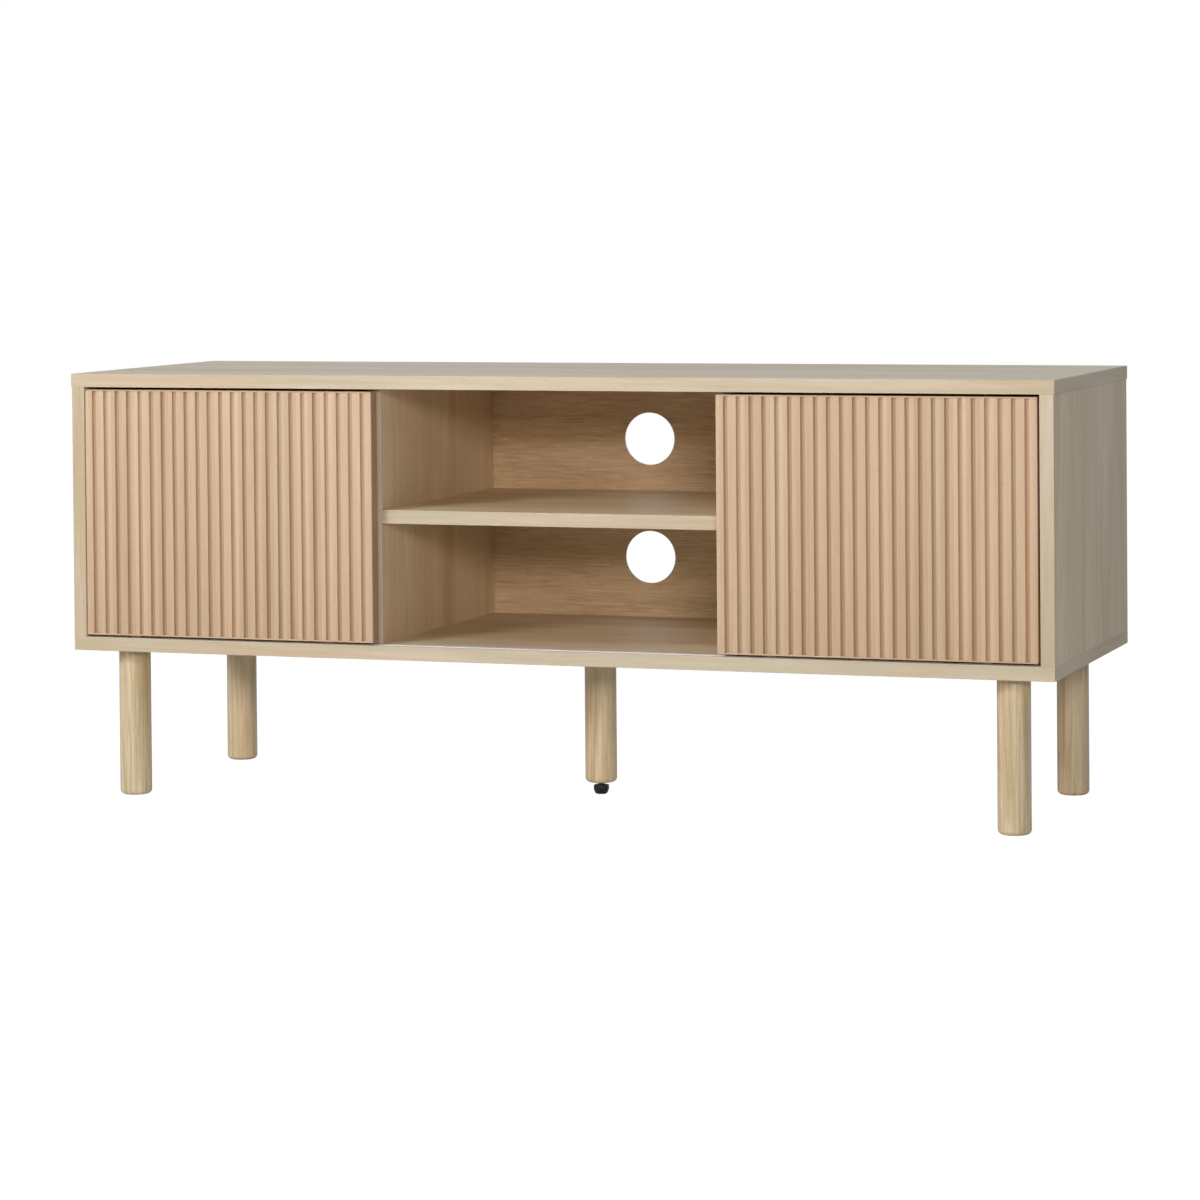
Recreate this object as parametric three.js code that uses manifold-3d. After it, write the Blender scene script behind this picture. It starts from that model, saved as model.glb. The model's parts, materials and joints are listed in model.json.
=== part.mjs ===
// Media cabinet: a flat-pack carcass on five round legs, with two fluted sliding doors.
// Millimetres, +X right, +Y to the back, +Z up. The origin is on the floor, under the middle.
import * as THREE from "three";
import { mergeVertices } from "three/addons/utils/BufferGeometryUtils.js";
import Module from "manifold-3d";

const wasm = await Module();
wasm.setup();

// Carcass
const WIDTH = 1200; // top panel, left to right
const DEPTH = 400; // every panel, front to back
const LEG_LENGTH = 177; // floor to the underside of the bottom panel
const BOARD = 16; // top, bottom and shelf
const UPRIGHT = 16; // sides and dividers
const INNER_HEIGHT = 300; // bottom panel to top panel
const TOP_OVERHANG = 1; // top panel past each side
const BAY_WIDTH = 416; // open bay, between the dividers
const SHELF_CLEAR = 141.5; // bottom panel to the underside of the shelf

// Back boards, let into grooves
const BACK_BOARD = 3;
const BACK_INSET = 4.75; // rear edge of the carcass to the groove
const BACK_GROOVE_DEPTH = 8;
const BACK_PLAY = 0.3; // between a back board and what holds it
const STRIP_WALL = 1; // joining strip between two back boards
const STRIP_WIDTH = 14;
const CABLE_HOLE_RADIUS = 32.5;
const LOWER_HOLE_HEIGHT = 74.5; // hole centre above the bottom panel
const UPPER_HOLE_HEIGHT = 64.5; // hole centre above the shelf

// Sliding doors
const DOOR_THICKNESS = 18;
const DOOR_RECESS = 1.5; // front of the carcass to the door
const DOOR_REAR_GAP = 3; // door to the dividers and the shelf
const DOOR_BOTTOM_GAP = 3;
const DOOR_TOP_GAP = 3; // the door lifts by this to come out
const DOOR_SIDE_GAP = 1; // closed door to the side panel
const DIVIDER_OVERLAP = 12; // closed door over the divider's front edge
const RIGHT_DOOR_AJAR = 2; // the right door stands this far from closed
const BAND = 1.75; // edge band on the top and bottom edges of a door
const FLUTE_PITCH = 15.1;
const FLUTE_WIDTH = 5.2;
const FLUTE_DEPTH = 2.8;
const FLUTE_CORNER = 0.8; // slope between the floor of a flute and its walls
const END_SLAT = 8; // least flat width beside the outermost flutes

// Tracks
const TRACK_HEIGHT = 3.5; // let into the bottom panel, flush with its top
const TRACK_GROOVE = 1.5; // depth of the groove that the wheels run in
const TRACK_LIP = 1; // board left in front of the track
const TRACK_PLAY = 0.1; // track to the front and rear of its groove
const TRACK_END_GAP = 0.5;
const CHANNEL_WALL = 1;
const CHANNEL_HEIGHT = 8.5;
const CHANNEL_PLAY = 0.3; // top channel to the groove it is pressed into

// Rollers and top guides
const WHEEL_RADIUS = 8;
const WHEEL_WIDTH = 3.5;
const WHEEL_SIDE_GAP = 1.25; // wheel to each wall of its groove
const WHEEL_LIFT = 0.1; // tread to the track
const AXLE_RADIUS = 1.5;
const RUNNING_FIT = 0.12;
const WHEEL_CLEARANCE = 1; // tread to the inside of the housing
const HOUSING_END = 6; // solid end of the housing, past the wheel's slot
const HOUSING_ROOF = 2.5;
const HOUSING_WALL = 1.25;
const HOUSING_PLAY = 0.3; // side of the wheel to its housing, and housing to its mortise
const MORTISE_BACK_WALL = 3; // left behind the mortise, at the door's back
const ROLLER_INSET = 60; // door edge to the middle of a roller
const GUIDE_PIN_RADIUS = 2.5;
const GUIDE_BODY_RADIUS = 4;
const GUIDE_BODY_LENGTH = 16;
const GUIDE_RISE = 3.5; // pin above the underside of the top panel
const GUIDE_SIDE_GAP = 1; // pin to each wall of the top channel

// Legs
const LEG_RADIUS = 19;
const LEG_EDGE_RADIUS = 5.5;
const LEG_INSET_X = 57; // outer face of the side to the middle of the leg
const LEG_INSET_Y = 46.5; // front or rear edge to the middle of the leg
const CENTRE_LEG_CLEARANCE = 14.5; // floor to the wood of the middle leg
const BOLT_RADIUS = 4;
const BOLT_IN_LEG = 30;
const INSERT_RADIUS = 6;
const INSERT_COVER = 3; // board left above an insert's hole
const HARDWARE_PLAY = 0.15; // round hardware to its hole
const END_PLAY = 1; // past the end of what is screwed in

// Levelling foot
const FOOT_RADIUS = 9.5; // across the corners of the hexagon
const FOOT_BASE_RADIUS = 7;
const FOOT_HEIGHT = 11;
const FOOT_TAPER = 5; // height of the cone under the hexagon
const STUD_SOCKET = 6; // stud inside the foot
const STUD_IN_LEG = 26;
const FOOT_INSERT_LENGTH = 14;
const FOOT_TRAVEL_ROOM = 6; // empty hole above the stud

// Shelf dowels
const DOWEL_RADIUS = 4;
const DOWEL_IN_SHELF = 22;
const DOWEL_IN_DIVIDER = 9;
const DOWEL_INSET = 60; // front or rear edge of the shelf to a dowel

// Levels and planes that follow from the sizes above
const FRONT = -DEPTH / 2;
const REAR = DEPTH / 2;
const FLOOR = LEG_LENGTH + BOARD; // top of the bottom panel
const CEILING = FLOOR + INNER_HEIGHT; // underside of the top panel
const TOP = CEILING + BOARD;
const SIDE_OUT = WIDTH / 2 - TOP_OVERHANG;
const SIDE_IN = SIDE_OUT - UPRIGHT;
const BAY_EDGE = BAY_WIDTH / 2;
const DIVIDER_MID = BAY_EDGE + UPRIGHT / 2;
const SHELF_BOTTOM = FLOOR + SHELF_CLEAR;
const SHELF_TOP = SHELF_BOTTOM + BOARD;

const GROOVE_REAR = REAR - BACK_INSET;
const GROOVE_FRONT = GROOVE_REAR - BACK_BOARD - 2 * BACK_PLAY;
const BACK_FRONT = GROOVE_FRONT + BACK_PLAY;
const BACK_REAR = BACK_FRONT + BACK_BOARD;
const STRIP_FRONT = BACK_FRONT - BACK_PLAY - STRIP_WALL;
const DIVIDER_REAR = STRIP_FRONT - BACK_PLAY;

const DOOR_FRONT = FRONT + DOOR_RECESS;
const DOOR_REAR = DOOR_FRONT + DOOR_THICKNESS;
const UPRIGHT_FRONT = DOOR_REAR + DOOR_REAR_GAP; // dividers and shelf
const DOOR_BOTTOM = FLOOR + DOOR_BOTTOM_GAP;
const DOOR_TOP = CEILING - DOOR_TOP_GAP;
const COMPARTMENT = SIDE_IN - BAY_EDGE - UPRIGHT;
const DOOR_WIDTH = COMPARTMENT - DOOR_SIDE_GAP + DIVIDER_OVERLAP;
const CLOSED_EDGE = SIDE_IN - DOOR_SIDE_GAP; // outer edge of a closed door

const HOUSING_THICKNESS = WHEEL_WIDTH + 2 * (HOUSING_PLAY + HOUSING_WALL);
const TRACK_FRONT = FRONT + TRACK_LIP + TRACK_PLAY;
const TRACK_REAR = UPRIGHT_FRONT - TRACK_END_GAP;
const MORTISE_REAR = DOOR_REAR - MORTISE_BACK_WALL;
const TRACK_LINE = MORTISE_REAR - HOUSING_PLAY - HOUSING_THICKNESS / 2; // rollers and guides
const TREAD_LEVEL = FLOOR - TRACK_GROOVE;
const AXLE_LEVEL = TREAD_LEVEL + WHEEL_LIFT + WHEEL_RADIUS;
const WHEEL_ROOM = WHEEL_RADIUS + WHEEL_CLEARANCE;
const HOUSING_TOP = AXLE_LEVEL + WHEEL_ROOM + HOUSING_ROOF;
const HOUSING_HALF = WHEEL_ROOM + HOUSING_END;
const CHANNEL_WIDTH = 2 * (GUIDE_PIN_RADIUS + GUIDE_SIDE_GAP + CHANNEL_WALL);

const INSERT_LENGTH = BOARD - INSERT_COVER - END_PLAY;
const LEG_X = SIDE_OUT - LEG_INSET_X;
const LEG_Y = REAR - LEG_INSET_Y;

// Segments round each kind of circle
const SMALL_ROUND = 12;
const WHEEL_ROUND = 20;
const LEG_ROUND = 24;
const HOLE_ROUND = 40;

const laminate = { color: 0xd8c8ac, roughness: 0.55, metalness: 0 };
const backLaminate = { color: 0xcbb088, roughness: 0.6, metalness: 0 };
const doorVeneer = { color: 0xd6bca3, roughness: 0.6, metalness: 0 };
const doorBand = { color: 0xdac3a4, roughness: 0.55, metalness: 0 };
const legWood = { color: 0xbea57d, roughness: 0.6, metalness: 0 };
const dowelBeech = { color: 0xc9a878, roughness: 0.75, metalness: 0 };
const whitePlastic = { color: 0xe1d3cd, roughness: 0.4, metalness: 0 };
const greyNylon = { color: 0xb9b9b4, roughness: 0.45, metalness: 0 };
const blackPlastic = { color: 0x1a1a1a, roughness: 0.5, metalness: 0 };
const zincSteel = { color: 0xa9acb0, roughness: 0.35, metalness: 1 };

const cabinet = new THREE.Group();

// A named mesh with a material of its own, added to a group.
function addPart(name, geometry, finish, group = cabinet) {
  const mesh = new THREE.Mesh(geometry, new THREE.MeshStandardMaterial(finish));
  mesh.name = name;
  group.add(mesh);
  return mesh;
}

// A box between two corners. Its faces lie exactly on them, so that neighbours meet without overlap.
function boxBetween(low, high) {
  const box = new THREE.BoxGeometry(1, 1, 1);
  const corners = box.attributes.position;
  for (let i = 0; i < corners.count; i++) {
    const at = [corners.getX(i), corners.getY(i), corners.getZ(i)];
    corners.setXYZ(i, ...at.map((value, axis) => (value < 0 ? low[axis] : high[axis])));
  }
  return box;
}

// A shape in plan, drawn straight up from z = low to z = high.
function prismBetween(shape, low, high, curveSegments = 1) {
  const prism = new THREE.ExtrudeGeometry(shape, { depth: 1, bevelEnabled: false, curveSegments });
  const corners = prism.attributes.position;
  for (let i = 0; i < corners.count; i++) corners.setZ(i, corners.getZ(i) < 0.5 ? low : high);
  return prism;
}

// An upright cylinder that stands on z = bottom.
function roundBar(radius, bottom, top, sides, x = 0, y = 0) {
  return new THREE.CylinderGeometry(radius, radius, top - bottom, sides)
    .rotateX(Math.PI / 2)
    .translate(x, y, (top + bottom) / 2);
}

// The same cylinder laid along X, and along Y.
function barAlongX(radius, from, to, sides, y, z) {
  return new THREE.CylinderGeometry(radius, radius, to - from, sides)
    .rotateZ(Math.PI / 2)
    .translate((to + from) / 2, y, z);
}

function barAlongY(radius, from, to, sides, x, z) {
  return new THREE.CylinderGeometry(radius, radius, to - from, sides).translate(x, (to + from) / 2, z);
}

// A solid turned about Z from a closed outline of [radius, z] points, with the outside on the right.
function turned(outline, sides) {
  const points = outline.map(([radius, z]) => new THREE.Vector2(radius, z));
  return new THREE.LatheGeometry(points, sides).rotateX(Math.PI / 2);
}

// A quarter circle of [radius, z] points, from angle to angle + 90 degrees.
function quarter(middleRadius, middleZ, radius, angle, steps) {
  return Array.from({ length: steps + 1 }, (_, i) => {
    const turn = angle + (i / steps) * (Math.PI / 2);
    return [middleRadius + radius * Math.cos(turn), middleZ + radius * Math.sin(turn)];
  });
}

function toSolid(geometry) {
  const bare = geometry.clone();
  bare.deleteAttribute("normal");
  bare.deleteAttribute("uv");
  const merged = mergeVertices(bare, 1e-4);
  return new wasm.Manifold(
    new wasm.Mesh({
      numProp: 3,
      vertProperties: merged.attributes.position.array,
      triVerts: new Uint32Array(merged.index.array),
    }),
  );
}

function toGeometry(solid) {
  const mesh = solid.getMesh();
  const geometry = new THREE.BufferGeometry();
  geometry.setAttribute("position", new THREE.BufferAttribute(mesh.vertProperties, 3));
  geometry.setIndex(new THREE.BufferAttribute(mesh.triVerts, 1));
  geometry.computeVertexNormals();
  return geometry;
}

// A geometry less each of the cutters.
function cut(geometry, cutters) {
  const rest = cutters.reduce((solid, cutter) => solid.subtract(toSolid(cutter)), toSolid(geometry));
  return toGeometry(rest);
}

// Each corner leg as [name, x, y], then the middle one.
const cornerLegs = [
  ["front_left", -LEG_X, -LEG_Y],
  ["front_right", LEG_X, -LEG_Y],
  ["rear_left", -LEG_X, LEG_Y],
  ["rear_right", LEG_X, LEG_Y],
];
const allLegs = [...cornerLegs, ["centre", 0, 0]];

function addTopPanel() {
  const reach = SIDE_IN + BACK_GROOVE_DEPTH;
  const backGroove = boxBetween(
    [-reach, GROOVE_FRONT, CEILING - END_PLAY],
    [reach, GROOVE_REAR, CEILING + BACK_GROOVE_DEPTH],
  );
  const channelHalf = CHANNEL_WIDTH / 2 + CHANNEL_PLAY;
  const channelGroove = boxBetween(
    [-SIDE_IN, TRACK_LINE - channelHalf, CEILING - END_PLAY],
    [SIDE_IN, TRACK_LINE + channelHalf, CEILING + CHANNEL_HEIGHT + CHANNEL_PLAY],
  );
  const board = boxBetween([-WIDTH / 2, FRONT, CEILING], [WIDTH / 2, REAR, TOP]);
  addPart("top_panel", cut(board, [backGroove, channelGroove]), laminate);
}

function addBottomPanel() {
  const reach = SIDE_IN + BACK_GROOVE_DEPTH;
  const backGroove = boxBetween(
    [-reach, GROOVE_FRONT, FLOOR - BACK_GROOVE_DEPTH],
    [reach, GROOVE_REAR, FLOOR + END_PLAY],
  );
  const insertHoles = allLegs.map(([, x, y]) =>
    roundBar(
      INSERT_RADIUS + HARDWARE_PLAY,
      LEG_LENGTH - END_PLAY,
      FLOOR - INSERT_COVER,
      SMALL_ROUND,
      x,
      y,
    ),
  );
  const trackGroove = boxBetween(
    [-SIDE_IN, TRACK_FRONT - TRACK_PLAY, FLOOR - TRACK_HEIGHT],
    [SIDE_IN, TRACK_REAR + TRACK_PLAY, FLOOR + END_PLAY],
  );
  const board = boxBetween([-SIDE_OUT, FRONT, LEG_LENGTH], [SIDE_OUT, REAR, FLOOR]);
  addPart("bottom_panel", cut(board, [backGroove, trackGroove, ...insertHoles]), laminate);
}

// side is -1 for the left panel and 1 for the right one.
function addSidePanel(name, side) {
  const backGroove = boxBetween(
    [SIDE_IN - END_PLAY, GROOVE_FRONT, FLOOR - END_PLAY],
    [SIDE_IN + BACK_GROOVE_DEPTH, GROOVE_REAR, CEILING + END_PLAY],
  );
  const board = boxBetween([SIDE_IN, FRONT, FLOOR], [SIDE_OUT, REAR, CEILING]);
  const panel = cut(board, [backGroove]);
  if (side < 0) panel.rotateZ(Math.PI).scale(1, -1, 1);
  addPart(name, side < 0 ? facesOut(panel) : panel, laminate);
}

// Turns the faces of a mirrored geometry round, so that they point out again.
function facesOut(geometry) {
  const order = geometry.index.array;
  for (let i = 0; i < order.length; i += 3) [order[i], order[i + 1]] = [order[i + 1], order[i]];
  return geometry;
}

const dowelRows = [UPRIGHT_FRONT + DOWEL_INSET, DIVIDER_REAR - DOWEL_INSET];
const DOWEL_LEVEL = SHELF_BOTTOM + BOARD / 2;

// Dowel holes through the inner faces of the dividers, or into the ends of the shelf.
function dowelHoles(side, inDivider) {
  const radius = DOWEL_RADIUS + HARDWARE_PLAY;
  const from = inDivider ? BAY_EDGE - END_PLAY : BAY_EDGE - DOWEL_IN_SHELF - END_PLAY;
  const to = inDivider ? BAY_EDGE + DOWEL_IN_DIVIDER + END_PLAY : BAY_EDGE + END_PLAY;
  const ends = [side * from, side * to].sort((a, b) => a - b);
  return dowelRows.map((y) => barAlongX(radius, ...ends, SMALL_ROUND, y, DOWEL_LEVEL));
}

function addDivider(name, side) {
  const faces = [side * BAY_EDGE, side * (BAY_EDGE + UPRIGHT)].sort((a, b) => a - b);
  const board = boxBetween([faces[0], UPRIGHT_FRONT, FLOOR], [faces[1], DIVIDER_REAR, CEILING]);
  addPart(name, cut(board, dowelHoles(side, true)), laminate);
}

function addShelf() {
  const board = boxBetween(
    [-BAY_EDGE, UPRIGHT_FRONT, SHELF_BOTTOM],
    [BAY_EDGE, GROOVE_FRONT, SHELF_TOP],
  );
  addPart("middle_shelf", cut(board, [...dowelHoles(-1, false), ...dowelHoles(1, false)]), laminate);
}

function addShelfDowels() {
  for (const [sideName, side] of [["left", -1], ["right", 1]]) {
    dowelRows.forEach((y, row) => {
      const ends = [side * (BAY_EDGE - DOWEL_IN_SHELF), side * (BAY_EDGE + DOWEL_IN_DIVIDER)];
      const [from, to] = ends.sort((a, b) => a - b);
      const dowel = barAlongX(DOWEL_RADIUS, from, to, SMALL_ROUND, y, DOWEL_LEVEL);
      addPart(`shelf_dowel_${sideName}_${row === 0 ? "front" : "rear"}`, dowel, dowelBeech);
    });
  }
}

// Three thin boards in the grooves, joined behind the dividers by two H-shaped strips.
function addBack() {
  const edge = SIDE_IN + BACK_GROOVE_DEPTH - END_PLAY;
  const low = FLOOR - BACK_GROOVE_DEPTH + END_PLAY;
  const high = CEILING + BACK_GROOVE_DEPTH - END_PLAY;
  const seam = STRIP_WALL / 2 + BACK_PLAY;
  const board = (from, to) => boxBetween([from, BACK_FRONT, low], [to, BACK_REAR, high]);
  const hole = (level) =>
    barAlongY(CABLE_HOLE_RADIUS, BACK_FRONT - END_PLAY, BACK_REAR + END_PLAY, HOLE_ROUND, 0, level);
  const holes = [hole(FLOOR + LOWER_HOLE_HEIGHT), hole(SHELF_TOP + UPPER_HOLE_HEIGHT)];
  addPart("back_board_left", board(-edge, -DIVIDER_MID - seam), backLaminate);
  addPart("back_board_centre", cut(board(-DIVIDER_MID + seam, DIVIDER_MID - seam), holes), backLaminate);
  addPart("back_board_right", board(DIVIDER_MID + seam, edge), backLaminate);
  addPart("back_strip_left", backStrip(-DIVIDER_MID), whitePlastic);
  addPart("back_strip_right", backStrip(DIVIDER_MID), whitePlastic);
}

function backStrip(x) {
  const web = STRIP_WALL / 2;
  const flange = STRIP_WIDTH / 2;
  const inFront = STRIP_FRONT + STRIP_WALL;
  const behind = BACK_REAR + BACK_PLAY;
  const rightHalf = [
    [flange, STRIP_FRONT],
    [flange, inFront],
    [web, inFront],
    [web, behind],
    [flange, behind],
    [flange, behind + STRIP_WALL],
  ];
  const leftHalf = rightHalf.map(([across, y]) => [-across, y]).reverse();
  const outline = [...rightHalf, ...leftHalf].map(([across, y]) => new THREE.Vector2(x + across, y));
  return prismBetween(new THREE.Shape(outline), FLOOR + BACK_PLAY, CEILING - BACK_PLAY);
}

// A profile of [y, z] points drawn along X for a length, with its middle at x = 0.
function drawnAlongX(profile, length) {
  const outline = profile.map(([y, z]) => new THREE.Vector2(y, z));
  return new THREE.ExtrudeGeometry(new THREE.Shape(outline), { depth: length, bevelEnabled: false })
    .rotateY(Math.PI / 2)
    .rotateX(Math.PI / 2)
    .translate(-length / 2, 0, 0);
}

// A flat bar with one groove for the wheels.
function addBottomTrack() {
  const low = FLOOR - TRACK_HEIGHT;
  const half = WHEEL_WIDTH / 2 + WHEEL_SIDE_GAP;
  const profile = [
    [TRACK_FRONT, low],
    [TRACK_REAR, low],
    [TRACK_REAR, FLOOR],
    [TRACK_LINE + half, FLOOR],
    [TRACK_LINE + half, TREAD_LEVEL],
    [TRACK_LINE - half, TREAD_LEVEL],
    [TRACK_LINE - half, FLOOR],
    [TRACK_FRONT, FLOOR],
  ];
  addPart("bottom_track", drawnAlongX(profile, 2 * (SIDE_IN - TRACK_END_GAP)), whitePlastic);
}

// A channel that opens downwards, flush with the underside of the top panel.
function addTopTrack() {
  const half = CHANNEL_WIDTH / 2;
  const inner = half - CHANNEL_WALL;
  const high = CEILING + CHANNEL_HEIGHT;
  const profile = [
    [-half, CEILING],
    [-inner, CEILING],
    [-inner, high - CHANNEL_WALL],
    [inner, high - CHANNEL_WALL],
    [inner, CEILING],
    [half, CEILING],
    [half, high],
    [-half, high],
  ].map(([y, z]) => [TRACK_LINE + y, z]);
  addPart("top_track", drawnAlongX(profile, 2 * (SIDE_IN - TRACK_END_GAP)), whitePlastic);
}

// Outline of a door seen from above, with round-bottomed flutes in its front face.
function flutedOutline() {
  const half = DOOR_WIDTH / 2;
  const room = DOOR_WIDTH - 2 * END_SLAT - FLUTE_WIDTH;
  const gaps = Math.floor(room / FLUTE_PITCH);
  const shape = new THREE.Shape();
  shape.moveTo(-half, DOOR_FRONT);
  for (let i = 0; i <= gaps; i++) {
    const middle = (i - gaps / 2) * FLUTE_PITCH;
    const edge = FLUTE_WIDTH / 2;
    const depth = DOOR_FRONT + FLUTE_DEPTH;
    shape.lineTo(middle - edge, DOOR_FRONT);
    shape.lineTo(middle - edge, depth - FLUTE_CORNER);
    shape.lineTo(middle - edge + FLUTE_CORNER, depth);
    shape.lineTo(middle + edge - FLUTE_CORNER, depth);
    shape.lineTo(middle + edge, depth - FLUTE_CORNER);
    shape.lineTo(middle + edge, DOOR_FRONT);
  }
  shape.lineTo(half, DOOR_FRONT);
  shape.lineTo(half, DOOR_REAR);
  shape.lineTo(-half, DOOR_REAR);
  shape.closePath();
  return shape;
}

// One door in a group of its own, whose origin is the middle of the door's width.
function addDoor(side, middle) {
  const door = new THREE.Group();
  door.position.x = middle;
  cabinet.add(door);
  const half = DOOR_WIDTH / 2;
  const rollers = [
    ["left", -half + ROLLER_INSET],
    ["right", half - ROLLER_INSET],
  ];
  const mortises = rollers.map(([, x]) => mortiseAt(x));
  const guideHoles = rollers.map(([, x]) =>
    roundBar(
      GUIDE_BODY_RADIUS + HARDWARE_PLAY,
      DOOR_TOP - GUIDE_BODY_LENGTH - END_PLAY,
      DOOR_TOP + END_PLAY,
      SMALL_ROUND,
      x,
      TRACK_LINE,
    ),
  );
  const low = DOOR_BOTTOM + BAND;
  const high = DOOR_TOP - BAND;
  const core = prismBetween(flutedOutline(), low, high, 4);
  addPart(`${side}_door_panel`, cut(core, [...mortises, ...guideHoles]), doorVeneer, door);

  const band = (from, to) => boxBetween([-half, DOOR_FRONT, from], [half, DOOR_REAR, to]);
  addPart(`${side}_door_top_band`, cut(band(high, DOOR_TOP), guideHoles), doorBand, door);
  addPart(`${side}_door_bottom_band`, cut(band(DOOR_BOTTOM, low), mortises), doorBand, door);

  for (const [end, x] of rollers) {
    addRoller(`${side}_door_${end}`, x, door);
    addPart(`${side}_door_${end}_top_guide`, topGuide(x), greyNylon, door);
  }
}

function mortiseAt(x) {
  const half = HOUSING_HALF + HOUSING_PLAY;
  return boxBetween(
    [x - half, TRACK_LINE - HOUSING_THICKNESS / 2 - HOUSING_PLAY, DOOR_BOTTOM - END_PLAY],
    [x + half, MORTISE_REAR, HOUSING_TOP + HOUSING_PLAY],
  );
}

// A wheel on a steel axle in a housing that is pressed into the door's bottom edge.
function addRoller(name, x, door) {
  const side = HOUSING_THICKNESS / 2;
  const block = boxBetween(
    [x - HOUSING_HALF, TRACK_LINE - side, DOOR_BOTTOM],
    [x + HOUSING_HALF, TRACK_LINE + side, HOUSING_TOP],
  );
  const slot = boxBetween(
    [x - WHEEL_ROOM, TRACK_LINE - side + HOUSING_WALL, DOOR_BOTTOM - END_PLAY],
    [x + WHEEL_ROOM, TRACK_LINE + side - HOUSING_WALL, AXLE_LEVEL + WHEEL_ROOM],
  );
  const bore = AXLE_RADIUS + RUNNING_FIT;
  const axleHole = barAlongY(
    bore,
    TRACK_LINE - side - END_PLAY,
    TRACK_LINE + side + END_PLAY,
    SMALL_ROUND,
    x,
    AXLE_LEVEL,
  );
  addPart(`${name}_roller_housing`, cut(block, [slot, axleHole]), greyNylon, door);
  const axle = barAlongY(AXLE_RADIUS, TRACK_LINE - side, TRACK_LINE + side, SMALL_ROUND, x, AXLE_LEVEL);
  addPart(`${name}_roller_axle`, axle, zincSteel, door);
  addPart(`${name}_roller_wheel`, wheelAt(x, bore), greyNylon, door);
}

function wheelAt(x, bore) {
  const half = WHEEL_WIDTH / 2;
  const crown = half / 2;
  const outline = [
    [bore, -half],
    [WHEEL_RADIUS - crown, -half],
    [WHEEL_RADIUS, -crown],
    [WHEEL_RADIUS, crown],
    [WHEEL_RADIUS - crown, half],
    [bore, half],
    [bore, -half],
  ];
  return turned(outline, WHEEL_ROUND).rotateX(-Math.PI / 2).translate(x, TRACK_LINE, AXLE_LEVEL);
}

// A plug in the door's top edge, with a thinner pin that runs in the top channel.
function topGuide(x) {
  const outline = [
    [0, DOOR_TOP - GUIDE_BODY_LENGTH],
    [GUIDE_BODY_RADIUS, DOOR_TOP - GUIDE_BODY_LENGTH],
    [GUIDE_BODY_RADIUS, DOOR_TOP],
    [GUIDE_PIN_RADIUS, DOOR_TOP],
    [GUIDE_PIN_RADIUS, CEILING + GUIDE_RISE - END_PLAY],
    [GUIDE_PIN_RADIUS - END_PLAY, CEILING + GUIDE_RISE],
    [0, CEILING + GUIDE_RISE],
  ];
  return turned(outline, SMALL_ROUND).translate(x, TRACK_LINE, 0);
}

// A leg stands on z = foot, with a hole in its top for the hanger bolt.
function legOutline(foot, bottomHole) {
  const boltHole = BOLT_RADIUS + HARDWARE_PLAY;
  const middle = LEG_RADIUS - LEG_EDGE_RADIUS;
  return [
    ...bottomHole,
    ...quarter(middle, foot + LEG_EDGE_RADIUS, LEG_EDGE_RADIUS, -Math.PI / 2, 3),
    [LEG_RADIUS, LEG_LENGTH],
    [boltHole, LEG_LENGTH],
    [boltHole, LEG_LENGTH - BOLT_IN_LEG - END_PLAY],
    [0, LEG_LENGTH - BOLT_IN_LEG - END_PLAY],
  ];
}

function addLegs() {
  for (const [name, x, y] of cornerLegs) {
    const leg = turned(legOutline(0, [[0, 0]]), LEG_ROUND);
    addPart(`${name}_leg`, leg.translate(x, y, 0), legWood);
  }
  const hole = INSERT_RADIUS + HARDWARE_PLAY;
  const holeTop = CENTRE_LEG_CLEARANCE + STUD_IN_LEG + FOOT_TRAVEL_ROOM;
  const footHole = [
    [0, holeTop],
    [hole, holeTop],
    [hole, CENTRE_LEG_CLEARANCE],
  ];
  addPart("centre_leg", turned(legOutline(CENTRE_LEG_CLEARANCE, footHole), LEG_ROUND), legWood);

  for (const [name, x, y] of allLegs) {
    const boltTop = LEG_LENGTH + INSERT_LENGTH;
    const bolt = roundBar(BOLT_RADIUS, LEG_LENGTH - BOLT_IN_LEG, boltTop, SMALL_ROUND, x, y);
    addPart(`${name}_hanger_bolt`, bolt, zincSteel);
    addPart(`${name}_insert_nut`, sleeve(LEG_LENGTH, boltTop).translate(x, y, 0), zincSteel);
  }
}

// A threaded sleeve round a bolt or stud.
function sleeve(bottom, top) {
  const bore = BOLT_RADIUS + HARDWARE_PLAY;
  const outline = [
    [bore, bottom],
    [INSERT_RADIUS, bottom],
    [INSERT_RADIUS, top],
    [bore, top],
    [bore, bottom],
  ];
  return turned(outline, SMALL_ROUND);
}

// A black hexagonal foot on a steel stud, screwed into the middle leg.
function addLevellingFoot() {
  const socket = BOLT_RADIUS + HARDWARE_PLAY;
  const socketFloor = FOOT_HEIGHT - STUD_SOCKET;
  const outline = [
    [0, 0],
    [FOOT_BASE_RADIUS, 0],
    [FOOT_RADIUS, FOOT_TAPER],
    [FOOT_RADIUS, FOOT_HEIGHT],
    [0, FOOT_HEIGHT],
  ];
  const socketHole = roundBar(socket, socketFloor - HARDWARE_PLAY, FOOT_HEIGHT + END_PLAY, SMALL_ROUND);
  addPart("levelling_foot", cut(turned(outline, 6), [socketHole]), blackPlastic);
  const studTop = CENTRE_LEG_CLEARANCE + STUD_IN_LEG;
  const stud = roundBar(BOLT_RADIUS - RUNNING_FIT, socketFloor, studTop, SMALL_ROUND);
  addPart("levelling_stud", stud, zincSteel);
  const insertTop = CENTRE_LEG_CLEARANCE + FOOT_INSERT_LENGTH;
  addPart("centre_leg_foot_insert", sleeve(CENTRE_LEG_CLEARANCE, insertTop), zincSteel);
}

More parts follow.
